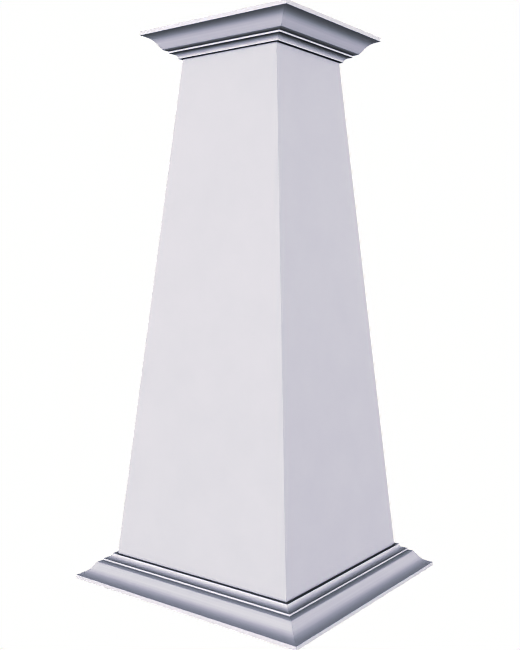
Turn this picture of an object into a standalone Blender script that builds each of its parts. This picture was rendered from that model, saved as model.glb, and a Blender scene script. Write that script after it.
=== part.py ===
"""Tapered square porch column wrap.

Four mitred shaft panels make a hollow sleeve that is open at both ends. A crown
moulding runs round the head, and the same moulding, turned over, runs round the foot.
Metres, +Z up, origin on the floor in the middle of the foot, front face towards -Y.
"""
import bpy
import bmesh
from math import atan2, cos, hypot, pi, radians, sin, sqrt
from mathutils import Vector
from mathutils.geometry import interpolate_bezier

# Shaft sleeve
WRAP_HEIGHT = 1.312
FOOT_WIDTH = 0.508
HEAD_WIDTH = 0.254
PANEL_THICKNESS = 0.0127

# Front of the crown moulding, from its narrow ledge out to its lip
LEDGE_DEPTH = 0.0070
COVE_PROJECTION = 0.0161
COVE_HEIGHT = 0.0123
FILLET_HEIGHT = 0.0045
STEP_PROJECTION = 0.0110
STEP_HEIGHT = 0.0036
STEP_HOLLOW = 0.60
CYMA_PROJECTION = 0.0368
CYMA_HEIGHT = 0.0311
CYMA_START_ANGLE = radians(51)
CYMA_START_PULL = 0.45
CYMA_END_ANGLE = radians(18)
CYMA_END_PULL = 0.55
LIP_HEIGHT = 0.0088

# Back of the crown moulding: an upright flat on the shaft, a sloped back and a level seat
BACK_FLAT_HEIGHT = 0.0158
SEAT_WIDTH = 0.0158

# Clearance between touching pieces
JOINT_GAP = 0.0003

# Points along the curved stretches
COVE_POINTS = 14
STEP_POINTS = 6
CYMA_POINTS = 34
SHARP_ANGLE = radians(24)

# Off-white vinyl as (red, green, blue, alpha), and how rough each part's finish is
VINYL_WHITE = (0.80, 0.79, 0.82, 1.0)
PANEL_ROUGHNESS = 0.42
MOULDING_ROUGHNESS = 0.30

MOULDING_HEIGHT = COVE_HEIGHT + FILLET_HEIGHT + STEP_HEIGHT + CYMA_HEIGHT + LIP_HEIGHT
MITRE_SETBACK = JOINT_GAP / sqrt(2)
SIDES = ("front", "right", "back", "left")


def clear_scene():
    for item in list(bpy.data.objects):
        bpy.data.objects.remove(item, do_unlink=True)


def vinyl(name, roughness):
    material = bpy.data.materials.new(name)
    material.use_nodes = True
    shader = material.node_tree.nodes["Principled BSDF"]
    shader.inputs["Base Color"].default_value = VINYL_WHITE
    shader.inputs["Roughness"].default_value = roughness
    shader.inputs["Metallic"].default_value = 0.0
    return material


def shaft_half_width(height):
    """Distance from the axis to the outer face of a shaft panel at a height."""
    share = height / WRAP_HEIGHT
    return (FOOT_WIDTH + (HEAD_WIDTH - FOOT_WIDTH) * share) / 2


def panel_section():
    """Section of one panel as (distance from the axis, height) points."""
    batter = atan2((FOOT_WIDTH - HEAD_WIDTH) / 2, WRAP_HEIGHT)
    level_thickness = PANEL_THICKNESS / cos(batter)
    foot = shaft_half_width(0)
    head = shaft_half_width(WRAP_HEIGHT)
    return [
        (foot - level_thickness, 0),
        (foot, 0),
        (head, WRAP_HEIGHT),
        (head - level_thickness, WRAP_HEIGHT),
    ]


def cove(start):
    """Quarter ellipse that leaves the ledge upright and arrives level."""
    points = []
    for step in range(COVE_POINTS):
        turn = pi / 2 * step / (COVE_POINTS - 1)
        out = start[0] + COVE_PROJECTION * (1 - cos(turn))
        rise = start[1] + COVE_HEIGHT * sin(turn)
        points.append((out, rise))
    return points


def hollow_step(start):
    """Shallow hollow that leaves the fillet almost level and steepens outwards."""
    points = []
    for step in range(STEP_POINTS):
        share = step / (STEP_POINTS - 1)
        lift = (1 - STEP_HOLLOW) * share + STEP_HOLLOW * share * share
        points.append((start[0] + STEP_PROJECTION * share, start[1] + STEP_HEIGHT * lift))
    return points


def cyma_recta(start):
    """Double curve that bulges, then hollows out towards the lip."""
    begin = Vector((start[0], start[1], 0))
    end = begin + Vector((CYMA_PROJECTION, CYMA_HEIGHT, 0))
    chord = hypot(CYMA_PROJECTION, CYMA_HEIGHT)
    start_way = Vector((cos(CYMA_START_ANGLE), sin(CYMA_START_ANGLE), 0))
    end_way = Vector((cos(CYMA_END_ANGLE), sin(CYMA_END_ANGLE), 0))
    start_handle = begin + start_way * (chord * CYMA_START_PULL)
    end_handle = end - end_way * (chord * CYMA_END_PULL)
    curve = interpolate_bezier(begin, start_handle, end_handle, end, CYMA_POINTS)
    return [(point.x, point.y) for point in curve]


def moulding_profile():
    """Section as (distance out from the back flat, distance along from the ledge)."""
    points = [(0, 0)]
    points += cove((LEDGE_DEPTH, 0))
    fillet_out, fillet_rise = points[-1]
    points += hollow_step((fillet_out, fillet_rise + FILLET_HEIGHT))
    points += cyma_recta(points[-1])[1:]
    lip_out = points[-1][0]
    points.append((lip_out, MOULDING_HEIGHT))
    points.append((lip_out - SEAT_WIDTH, MOULDING_HEIGHT))
    points.append((0, BACK_FLAT_HEIGHT))
    return points


def capital_section():
    """Moulding with its ledge down: the shaft's widest touching level is the ledge."""
    ledge_height = WRAP_HEIGHT - MOULDING_HEIGHT
    back = shaft_half_width(ledge_height) + JOINT_GAP
    return [(back + out, ledge_height + rise) for out, rise in moulding_profile()]


def base_section():
    """Moulding turned over: the shaft's widest touching level ends the back flat."""
    back = shaft_half_width(MOULDING_HEIGHT - BACK_FLAT_HEIGHT) + JOINT_GAP
    return [(back + out, MOULDING_HEIGHT - rise) for out, rise in moulding_profile()]


def mitred_side_mesh(name, section):
    """Runs a section along the front side, cut off on the two corner diagonals."""
    mesh = bpy.data.meshes.new(name)
    shape = bmesh.new()
    ends = []
    for side in (-1, 1):
        corners = []
        for distance, height in section:
            along = side * (distance - MITRE_SETBACK)
            corners.append(shape.verts.new((along, -distance, height)))
        shape.faces.new(corners)
        ends.append(corners)
    shape.edges.ensure_lookup_table()
    rings = [edge for edge in shape.edges]
    bmesh.ops.bridge_loops(shape, edges=rings)
    bmesh.ops.recalc_face_normals(shape, faces=shape.faces)
    shape.to_mesh(mesh)
    shape.free()
    mesh.shade_smooth()
    mesh.set_sharp_from_angle(angle=SHARP_ANGLE)
    return mesh


def add_four_sides(name, section, material, parent):
    """One object on each side of the column, all sharing one mesh."""
    mesh = mitred_side_mesh(name, section)
    mesh.materials.append(material)
    for index, side in enumerate(SIDES):
        piece = bpy.data.objects.new(name + "_" + side, mesh)
        piece.rotation_euler = (0, 0, index * pi / 2)
        piece.parent = parent
        bpy.context.scene.collection.objects.link(piece)


def build():
    clear_scene()
    column = bpy.data.objects.new("porch_column_wrap", None)
    bpy.context.scene.collection.objects.link(column)
    add_four_sides("shaft_panel", panel_section(), vinyl("shaft_vinyl", PANEL_ROUGHNESS), column)
    add_four_sides(
        "capital_moulding", capital_section(), vinyl("capital_vinyl", MOULDING_ROUGHNESS), column
    )
    add_four_sides("base_moulding", base_section(), vinyl("base_vinyl", MOULDING_ROUGHNESS), column)


build()
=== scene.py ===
from math import atan2, cos, hypot, pi, radians, sin, sqrt, tan

import bmesh
import bpy
from mathutils import Matrix, Vector
from mathutils.geometry import interpolate_bezier


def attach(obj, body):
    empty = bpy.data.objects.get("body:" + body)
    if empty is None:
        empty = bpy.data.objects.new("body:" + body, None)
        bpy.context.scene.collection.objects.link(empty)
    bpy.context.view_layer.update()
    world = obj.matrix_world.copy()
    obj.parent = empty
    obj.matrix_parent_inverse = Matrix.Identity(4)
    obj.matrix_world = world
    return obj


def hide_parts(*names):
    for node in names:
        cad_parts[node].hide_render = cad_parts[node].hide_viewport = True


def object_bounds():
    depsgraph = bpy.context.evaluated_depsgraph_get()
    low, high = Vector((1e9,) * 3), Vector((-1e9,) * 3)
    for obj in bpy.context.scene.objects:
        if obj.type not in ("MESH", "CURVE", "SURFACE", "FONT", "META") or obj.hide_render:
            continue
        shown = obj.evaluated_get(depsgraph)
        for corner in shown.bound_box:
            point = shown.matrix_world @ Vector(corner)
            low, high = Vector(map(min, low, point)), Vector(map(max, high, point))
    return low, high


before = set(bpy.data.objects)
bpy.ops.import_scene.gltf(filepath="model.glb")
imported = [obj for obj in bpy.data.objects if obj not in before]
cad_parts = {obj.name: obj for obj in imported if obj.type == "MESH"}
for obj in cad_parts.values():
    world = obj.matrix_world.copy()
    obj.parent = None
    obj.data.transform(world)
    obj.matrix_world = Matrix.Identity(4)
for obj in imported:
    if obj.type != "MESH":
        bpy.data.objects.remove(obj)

cad_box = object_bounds()

# Shaft of the construction, in metres
WRAP_HEIGHT = cad_box[1].z
FOOT_WIDTH = 0.508
HEAD_WIDTH = 0.254
PANEL_THICKNESS = 0.0127

# Front of the crown moulding, from its narrow ledge out to its lip, in metres
LEDGE_DEPTH = 0.0070
COVE_PROJECTION = 0.0161
COVE_HEIGHT = 0.0123
FILLET_HEIGHT = 0.0045
STEP_PROJECTION = 0.0110
STEP_HEIGHT = 0.0036
STEP_HOLLOW = 0.60
CYMA_PROJECTION = 0.0368
CYMA_HEIGHT = 0.0311
CYMA_START_ANGLE = radians(51)
CYMA_START_PULL = 0.45
CYMA_END_ANGLE = radians(18)
CYMA_END_PULL = 0.55
LIP_HEIGHT = 0.0088

# Back of the moulding and its clearance to the shaft, in metres
BACK_FLAT_HEIGHT = 0.0158
SEAT_WIDTH = 0.0158
JOINT_GAP = 0.0003
MOULDING_HEIGHT = COVE_HEIGHT + FILLET_HEIGHT + STEP_HEIGHT + CYMA_HEIGHT + LIP_HEIGHT

# Joints and rounded edges of the visible pieces, in metres
HAIRLINE = 0.00005
PANEL_ARRIS = 0.0008
MOULDING_ARRIS = 0.0003
# Corners of a section that turn by more than this are rounded
SHARP_TURN = radians(20)

# Points along the round stretches
ARRIS_STEPS = 4
COVE_POINTS = 25
STEP_POINTS = 10
CYMA_POINTS = 65

SIDES = ("front", "right", "back", "left")
# Map of each mesh: metres along the run, and metres round the section
RUN_MAP = "run_and_section"
# How far large faces outweigh small ones in smooth shading, at most 100
LARGE_FACE_WEIGHT = 100

# Camera, found by fitting the photograph's straight edges: its place in metres, then its
# turn to the left and dip, and its focal length and off-centre crop in the photo's pixels
CAMERA_PLACE = Vector((1.2362, -1.7518, 0.7797))
CAMERA_TURN = radians(39.203)
CAMERA_DIP = radians(5.705)
FOCAL_PIXELS = 875.59
SHIFT_PIXELS = (61.07, 22.95)
# The photograph's longer side in pixels, and the sensor's in millimetres
PHOTO_HEIGHT = 650
SENSOR_SIZE = 36.0
# Range that the camera sees, in metres
NEAREST_VIEW = 0.05
FARTHEST_VIEW = 100.0

# Vinyl colours, as (red, green, blue, alpha)
MOULDING_LIGHT = (0.822, 0.812, 0.843, 1.0)
MOULDING_DEEP = (0.793, 0.783, 0.813, 1.0)
SHEET_LIGHT = (0.731, 0.722, 0.749, 1.0)
SHEET_DEEP = (0.718, 0.709, 0.736, 1.0)
# Painted shade: the ledge where the moulding meets the shaft, darkened in its colour
LEDGE_PAINTED_SHADE = (0.640, 0.632, 0.656, 1.0)
# Painted shade: the lip, seat and back, a little darker in their colour
LIP_PAINTED_SHADE = (0.784, 0.774, 0.804, 1.0)
# How strongly the skin shines, how rough it is in the open and on its rubbed corners, and how
# far these reach from the mitres in metres
SPECULAR_LEVEL = 0.08
SHEET_ROUGHNESS = 0.50
MOULDING_ROUGHNESS = 0.40
ROUGHNESS_SWING = 0.05
RUBBED_ROUGHNESS = 0.30
RUBBED_REACH = 0.004
# Where the ledge's painted shade fades out, in metres round the section from the back flat, and
# how gradually the lip's fainter painted shade begins
LEDGE_SHADE_FADES = (0.0068, 0.0076)
LIP_FADE = 0.0004
# Sizes of the patterns, as repeats a metre, and how much detail each has
MOTTLE_SCALE = 9.0
GRAIN_SCALE = 900.0
STREAK_SCALE = (3.0, 260.0, 1.0)
DRAW_LINE_SCALE = (6.0, 1400.0, 1.0)
CLOUD_DETAIL = 3.0
FINE_DETAIL = 2.0
# The part of a noise pattern's range that is spread over the two colours
NOISE_RANGE = (0.3, 0.7)
# Relief of the grain and of the extrusion's drawn lines, as (strength, depth in metres)
GRAIN_RELIEF = (0.10, 0.00004)
LINE_RELIEF = (0.20, 0.00006)

# Studio light: a soft strip all round at eye level and a weak glow overhead and underfoot,
# as (elevation in degrees, brightness) from below to above
SKY_STOPS = (
    (-90, 0.015),
    (-50, 0.000),
    (-28, 0.000),
    (-14, 0.300),
    (0, 0.600),
    (12, 0.950),
    (26, 0.000),
    (50, 0.000),
    (90, 0.020),
)
# The strip's mean strength, how much stronger it is on its bright side, and where that is
SKY_LIGHT = 4.06
SKY_LEAN = 0.23
SKY_TOWARD = radians(-83)

# White ground that the column stands on and is seen against: colours, then sizes in metres
BACKDROP = (1.0, 1.0, 1.0, 1.0)
BLACK = (0.0, 0.0, 0.0, 1.0)
FLOOR_SIZE = 60.0
FLOOR_CLEARANCE = 0.0005

# How the photograph prints green and blue, as (brightness, printed brightness): its shadows
# are cooler than its lights
PRINTED_GREEN = ((0.25, 0.265), (0.45, 0.47), (0.70, 0.70), (0.85, 0.85), (0.90, 0.89))
PRINTED_BLUE = ((0.25, 0.285), (0.50, 0.565), (0.70, 0.74), (0.90, 0.89), (0.95, 0.93))
PRINT_GAMMA = 0.5
PIXEL_FILTER = 1.1

# Places of a Mix node's two colours and of its colour result among its sockets, and of a Mix
# Shader node's two shaders
MIX_COLOURS = (6, 7)
MIX_RESULT = 2
MIX_SHADERS = (1, 2)


def shaft_half_width(height):
    """Distance from the axis to the outer face of a shaft panel at a height."""
    share = height / WRAP_HEIGHT
    return (FOOT_WIDTH + (HEAD_WIDTH - FOOT_WIDTH) * share) / 2


def panel_section():
    """Section of one panel as (distance from the axis, height) points."""
    batter = atan2((FOOT_WIDTH - HEAD_WIDTH) / 2, WRAP_HEIGHT)
    level_thickness = PANEL_THICKNESS / cos(batter)
    foot = shaft_half_width(0)
    head = shaft_half_width(WRAP_HEIGHT)
    return [
        (foot - level_thickness, 0),
        (foot, 0),
        (head, WRAP_HEIGHT),
        (head - level_thickness, WRAP_HEIGHT),
    ]


def cove(start):
    """Quarter ellipse that leaves the ledge upright and arrives level."""
    points = []
    for step in range(COVE_POINTS):
        turn = pi / 2 * step / (COVE_POINTS - 1)
        out = start[0] + COVE_PROJECTION * (1 - cos(turn))
        points.append((out, start[1] + COVE_HEIGHT * sin(turn)))
    return points


def hollow_step(start):
    """Shallow hollow that leaves the fillet almost level and steepens outwards."""
    points = []
    for step in range(STEP_POINTS):
        share = step / (STEP_POINTS - 1)
        lift = (1 - STEP_HOLLOW) * share + STEP_HOLLOW * share * share
        points.append((start[0] + STEP_PROJECTION * share, start[1] + STEP_HEIGHT * lift))
    return points


def cyma_recta(start):
    """Double curve that bulges, then hollows out towards the lip."""
    begin = Vector((start[0], start[1], 0))
    end = begin + Vector((CYMA_PROJECTION, CYMA_HEIGHT, 0))
    chord = hypot(CYMA_PROJECTION, CYMA_HEIGHT)
    start_way = Vector((cos(CYMA_START_ANGLE), sin(CYMA_START_ANGLE), 0))
    end_way = Vector((cos(CYMA_END_ANGLE), sin(CYMA_END_ANGLE), 0))
    start_handle = begin + start_way * (chord * CYMA_START_PULL)
    end_handle = end - end_way * (chord * CYMA_END_PULL)
    curve = interpolate_bezier(begin, start_handle, end_handle, end, CYMA_POINTS)
    return [(point.x, point.y) for point in curve]


def moulding_face():
    """Front of the moulding, from the foot of its back flat out to its lip's near edge."""
    points = [(0, 0)]
    points += cove((LEDGE_DEPTH, 0))
    fillet_out, fillet_rise = points[-1]
    points += hollow_step((fillet_out, fillet_rise + FILLET_HEIGHT))
    points += cyma_recta(points[-1])[1:]
    return points


def moulding_profile():
    """Section as (distance out from the back flat, distance along from the ledge)."""
    points = moulding_face()
    lip_out = points[-1][0]
    points.append((lip_out, MOULDING_HEIGHT))
    points.append((lip_out - SEAT_WIDTH, MOULDING_HEIGHT))
    points.append((0, BACK_FLAT_HEIGHT))
    return points


def capital_section():
    """Moulding with its ledge down: the shaft's widest touching level is the ledge."""
    ledge_height = WRAP_HEIGHT - MOULDING_HEIGHT
    back = shaft_half_width(ledge_height) + JOINT_GAP
    return [(back + out, ledge_height + rise) for out, rise in moulding_profile()]


def base_section():
    """Moulding turned over: the shaft's widest touching level ends the back flat."""
    back = shaft_half_width(MOULDING_HEIGHT - BACK_FLAT_HEIGHT) + JOINT_GAP
    return [(back + out, MOULDING_HEIGHT - rise) for out, rise in moulding_profile()]


def eased(outline, radius):
    """Rounds each sharp corner of a closed outline with a small arc."""
    points = []
    for index, place in enumerate(outline):
        corner = Vector(place)
        arriving = corner - Vector(outline[index - 1])
        leaving = Vector(outline[(index + 1) % len(outline)]) - corner
        turn = arriving.angle(leaving)
        if turn < SHARP_TURN:
            points.append(tuple(corner))
            continue
        reach = min(radius * tan(turn / 2), arriving.length / 2, leaving.length / 2)
        start = corner - arriving.normalized() * reach
        end = corner + leaving.normalized() * reach
        for step in range(ARRIS_STEPS + 1):
            share = step / ARRIS_STEPS
            first = start.lerp(corner, share)
            second = corner.lerp(end, share)
            points.append(tuple(first.lerp(second, share)))
    return points


def distances_along(points):
    """How far each point of a path is from its first one, measured along it."""
    distances = [0.0]
    for before, after in zip(points, points[1:]):
        distances.append(distances[-1] + (Vector(after) - Vector(before)).length)
    return distances


def section_ring(shape, section, arris, side, turn):
    """The section's corners at one step round a mitred end, a hairline off the diagonal."""
    ring = []
    for distance, height in section:
        core = distance - arris
        along = side * (core + arris * sin(turn) - HAIRLINE / sqrt(2))
        ring.append(shape.verts.new((along, -(core + arris * cos(turn)), height)))
    return ring


def mitred_mesh(name, section, arris):
    """Runs a section along the front side, from one corner diagonal to the other."""
    mesh = bpy.data.meshes.new(name)
    shape = bmesh.new()
    layout = shape.loops.layers.uv.new(RUN_MAP)
    turns = [pi / 4 * step / ARRIS_STEPS for step in range(ARRIS_STEPS + 1)]
    stations = [(-1, turn) for turn in reversed(turns)] + [(1, turn) for turn in turns]
    rings = [section_ring(shape, section, arris, side, turn) for side, turn in stations]
    lengths = distances_along(section + section[:1])
    for first, second in zip(rings, rings[1:]):
        for index in range(len(section)):
            after = (index + 1) % len(section)
            face = shape.faces.new((first[index], first[after], second[after], second[index]))
            spans = (lengths[index], lengths[index + 1], lengths[index + 1], lengths[index])
            for loop, span in zip(face.loops, spans):
                loop[layout].uv = (loop.vert.co.x, span)
    for ring in (rings[0], rings[-1]):
        for loop in shape.faces.new(ring).loops:
            loop[layout].uv = (loop.vert.co.y, loop.vert.co.z)
    bmesh.ops.recalc_face_normals(shape, faces=shape.faces)
    shape.to_mesh(mesh)
    shape.free()
    mesh.shade_smooth()
    return mesh


def dress_side(index, kind, section, arris, material):
    """One visible piece in place of the construction's piece on the same side."""
    side = SIDES[index]
    mesh = mitred_mesh(side + "_" + kind, section, arris)
    mesh.transform(Matrix.Rotation(index * pi / 2, 4, "Z"))
    mesh.materials.append(material)
    piece = bpy.data.objects.new(side + "_" + kind, mesh)
    bpy.context.scene.collection.objects.link(piece)
    weighting = piece.modifiers.new("even_normals", "WEIGHTED_NORMAL")
    weighting.weight = LARGE_FACE_WEIGHT
    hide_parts(kind + "_" + side)
    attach(piece, "root")


class Graph:
    """Short way to add and join the nodes of one material or world."""

    def __init__(self, owner):
        owner.use_nodes = True
        self.tree = owner.node_tree

    def feed(self, socket, value):
        """Links another node's output to a socket, or sets the socket to a plain value."""
        if isinstance(value, bpy.types.NodeSocket):
            self.tree.links.new(value, socket)
        else:
            socket.default_value = value

    def add(self, kind, settings=(), **sockets):
        node = self.tree.nodes.new("ShaderNode" + kind)
        for name, value in dict(settings).items():
            setattr(node, name, value)
        for name, value in sockets.items():
            self.feed(node.inputs[name.replace("_", " ")], value)
        return node

    def noise(self, place, scale, detail=CLOUD_DETAIL):
        return self.add("TexNoise", Vector=place, Scale=scale, Detail=detail).outputs["Fac"]

    def stretched_noise(self, place, scales, detail=CLOUD_DETAIL):
        """Noise with its own scale along each axis."""
        stretched = self.add("Mapping", Vector=place, Scale=scales)
        return self.noise(stretched.outputs["Vector"], 1.0, detail)

    def spread(self, value, low, high, from_low=0.0, from_high=1.0):
        """Stretches a value from its own range over low to high."""
        node = self.add(
            "MapRange", Value=value, From_Min=from_low, From_Max=from_high, To_Min=low, To_Max=high
        )
        return node.outputs["Result"]

    def math(self, operation, *values, kind="Math"):
        node = self.add(kind, {"operation": operation})
        for socket, value in zip(node.inputs, values):
            self.feed(socket, value)
        return node.outputs["Value"]

    def mix_colours(self, share, first, second):
        """The first colour where share is 0, the second where it is 1."""
        node = self.add("Mix", {"data_type": "RGBA"}, Factor=share)
        for place, colour in zip(MIX_COLOURS, (first, second)):
            self.feed(node.inputs[place], colour)
        return node.outputs[MIX_RESULT]

    def relief(self, height, strength, depth, **under):
        """Bump from a pattern, over another bump where one is given as Normal."""
        node = self.add("Bump", Height=height, Strength=strength, Distance=depth, **under)
        return node.outputs["Normal"]


def corner_share(graph, place):
    """1 on the upright diagonals that all the mitres lie on, 0 a few millimetres away."""
    parts = graph.add("SeparateXYZ", Vector=place)
    across = graph.math("ABSOLUTE", parts.outputs["X"])
    along = graph.math("ABSOLUTE", parts.outputs["Y"])
    away = graph.math("ABSOLUTE", graph.math("SUBTRACT", across, along))
    return graph.spread(away, 1.0, 0.0, 0.0, RUBBED_REACH)


def with_painted_shade(graph, run, tone):
    """An extrusion's colour with painted shade darkening its ledge and, more faintly, its lip,
    seat and back.
    """
    round_section = graph.add("SeparateXYZ", Vector=run).outputs["Y"]
    lip_begins = distances_along(moulding_face())[-1]
    # Painted shade on the ledge, and fainter painted shade from the lip on
    ledge = graph.spread(round_section, 1.0, 0.0, *LEDGE_SHADE_FADES)
    lip = graph.spread(round_section, 0.0, 1.0, lip_begins - LIP_FADE, lip_begins)
    return graph.mix_colours(lip, graph.mix_colours(ledge, tone, LEDGE_PAINTED_SHADE), LIP_PAINTED_SHADE)


def vinyl(name, light, deep, roughness, extruded):
    """Off-white vinyl skin: faintly mottled sheet, or an extrusion drawn in fine lines."""
    material = bpy.data.materials.new(name)
    graph = Graph(material)
    shader = graph.tree.nodes["Principled BSDF"]
    shader.inputs["Specular IOR Level"].default_value = SPECULAR_LEVEL
    place = graph.add("TexCoord").outputs["Object"]
    cloud = graph.noise(place, MOTTLE_SCALE)
    surface = graph.relief(graph.noise(place, GRAIN_SCALE, FINE_DETAIL), *GRAIN_RELIEF)
    if extruded:
        run = graph.add("UVMap", {"uv_map": RUN_MAP}).outputs["UV"]
        streaks = graph.stretched_noise(run, STREAK_SCALE)
        unshaded_tone = graph.mix_colours(graph.spread(streaks, 0.0, 1.0, *NOISE_RANGE), deep, light)
        # Painted shade on the ledge, and fainter painted shade on the lip, seat and back
        tone = with_painted_shade(graph, run, unshaded_tone)
        lines = graph.stretched_noise(run, DRAW_LINE_SCALE, FINE_DETAIL)
        surface = graph.relief(lines, *LINE_RELIEF, Normal=surface)
    else:
        tone = graph.mix_colours(graph.spread(cloud, 0.0, 1.0, *NOISE_RANGE), deep, light)
    skin = graph.spread(cloud, roughness - ROUGHNESS_SWING, roughness + ROUGHNESS_SWING)
    gloss = graph.add("Mix", Factor=corner_share(graph, place), A=skin, B=RUBBED_ROUGHNESS)
    graph.feed(shader.inputs["Base Color"], tone)
    graph.feed(shader.inputs["Roughness"], gloss.outputs["Result"])
    graph.feed(shader.inputs["Normal"], surface)
    return material


def set_camera():
    """The photograph's viewpoint, with its off-centre crop as shift."""
    data = bpy.data.cameras.new("photo_view")
    camera = bpy.data.objects.new("photo_view", data)
    bpy.context.scene.collection.objects.link(camera)
    data.sensor_width = SENSOR_SIZE
    data.lens = FOCAL_PIXELS / PHOTO_HEIGHT * SENSOR_SIZE
    data.shift_x = SHIFT_PIXELS[0] / PHOTO_HEIGHT
    data.shift_y = SHIFT_PIXELS[1] / PHOTO_HEIGHT
    data.clip_start = NEAREST_VIEW
    data.clip_end = FARTHEST_VIEW
    camera.location = CAMERA_PLACE
    camera.rotation_euler = (pi / 2 - CAMERA_DIP, 0, CAMERA_TURN)
    bpy.context.scene.camera = camera


def grey(brightness):
    return (brightness, brightness, brightness, 1.0)


def set_world():
    """Soft light from all round, behind a white backdrop that only the camera sees."""
    world = bpy.data.worlds.new("studio")
    bpy.context.scene.world = world
    graph = Graph(world)
    graph.tree.nodes.clear()
    way = graph.add("TexCoord").outputs["Generated"]
    rise = graph.add("SeparateXYZ", Vector=way).outputs["Z"]
    ramp = graph.add("ValToRGB", Fac=graph.spread(rise, 0.0, 1.0, -1.0))
    stops = ramp.color_ramp.elements
    stops[0].color = grey(SKY_STOPS[0][1])
    stops[1].color = grey(SKY_STOPS[-1][1])
    for elevation, brightness in SKY_STOPS[1:-1]:
        stop = stops.new((1 + sin(radians(elevation))) / 2)
        stop.color = grey(brightness)
    bright_side = (cos(SKY_TOWARD), sin(SKY_TOWARD), 0)
    facing = graph.math("DOT_PRODUCT", way, bright_side, kind="VectorMath")
    low, high = SKY_LIGHT * (1 - SKY_LEAN), SKY_LIGHT * (1 + SKY_LEAN)
    strength = graph.spread(facing, low, high, -1.0)
    glow = graph.add("Background", Color=ramp.outputs["Color"], Strength=strength)
    plain = graph.add("Background", Color=BACKDROP, Strength=1.0)
    path = graph.add("LightPath")
    choice = graph.add("MixShader", Fac=path.outputs["Is Camera Ray"])
    for place, shader in zip(MIX_SHADERS, (glow, plain)):
        graph.feed(choice.inputs[place], shader.outputs["Background"])
    graph.add("OutputWorld", Surface=choice.outputs["Shader"])


def set_floor():
    """Plain white floor that the camera sees and that gives the object no light."""
    mesh = bpy.data.meshes.new("studio_floor")
    half = FLOOR_SIZE / 2
    corners = [(-half, -half, 0), (half, -half, 0), (half, half, 0), (-half, half, 0)]
    mesh.from_pydata(corners, [], [(0, 1, 2, 3)])
    floor = bpy.data.objects.new("studio_floor", mesh)
    floor.location.z = -FLOOR_CLEARANCE
    bpy.context.scene.collection.objects.link(floor)
    material = bpy.data.materials.new("pale_floor")
    graph = Graph(material)
    shader = graph.tree.nodes["Principled BSDF"]
    shader.inputs["Base Color"].default_value = BLACK
    shader.inputs["Specular IOR Level"].default_value = 0.0
    shader.inputs["Emission Color"].default_value = BACKDROP
    shader.inputs["Emission Strength"].default_value = 1.0
    mesh.materials.append(material)
    floor.visible_diffuse = False
    floor.visible_glossy = False


def set_print():
    """Contrasty print: cool in its shadows, with no bounced light and crisp thin lines."""
    scene = bpy.context.scene
    view = scene.view_settings
    view.view_transform = "Standard"
    view.gamma = PRINT_GAMMA
    view.use_curve_mapping = True
    mapping = view.curve_mapping
    green_and_blue = mapping.curves[1:3]
    for curve, points in zip(green_and_blue, (PRINTED_GREEN, PRINTED_BLUE)):
        for place in points:
            curve.points.new(*place)
    mapping.update()
    scene.cycles.diffuse_bounces = 0
    scene.cycles.glossy_bounces = 0
    scene.cycles.filter_width = PIXEL_FILTER


def dress_column():
    """Panels, capital and base on each of the four sides."""
    sheet = vinyl("shaft_vinyl", SHEET_LIGHT, SHEET_DEEP, SHEET_ROUGHNESS, False)
    moulded = (MOULDING_LIGHT, MOULDING_DEEP, MOULDING_ROUGHNESS, True)
    capital_vinyl = vinyl("capital_vinyl", *moulded)
    base_vinyl = vinyl("base_vinyl", *moulded)
    capital = eased(capital_section(), MOULDING_ARRIS)
    base = eased(base_section(), MOULDING_ARRIS)
    for index in range(len(SIDES)):
        dress_side(index, "shaft_panel", panel_section(), PANEL_ARRIS, sheet)
        dress_side(index, "capital_moulding", capital, MOULDING_ARRIS, capital_vinyl)
        dress_side(index, "base_moulding", base, MOULDING_ARRIS, base_vinyl)


set_camera()
set_world()
set_floor()
set_print()
dress_column()
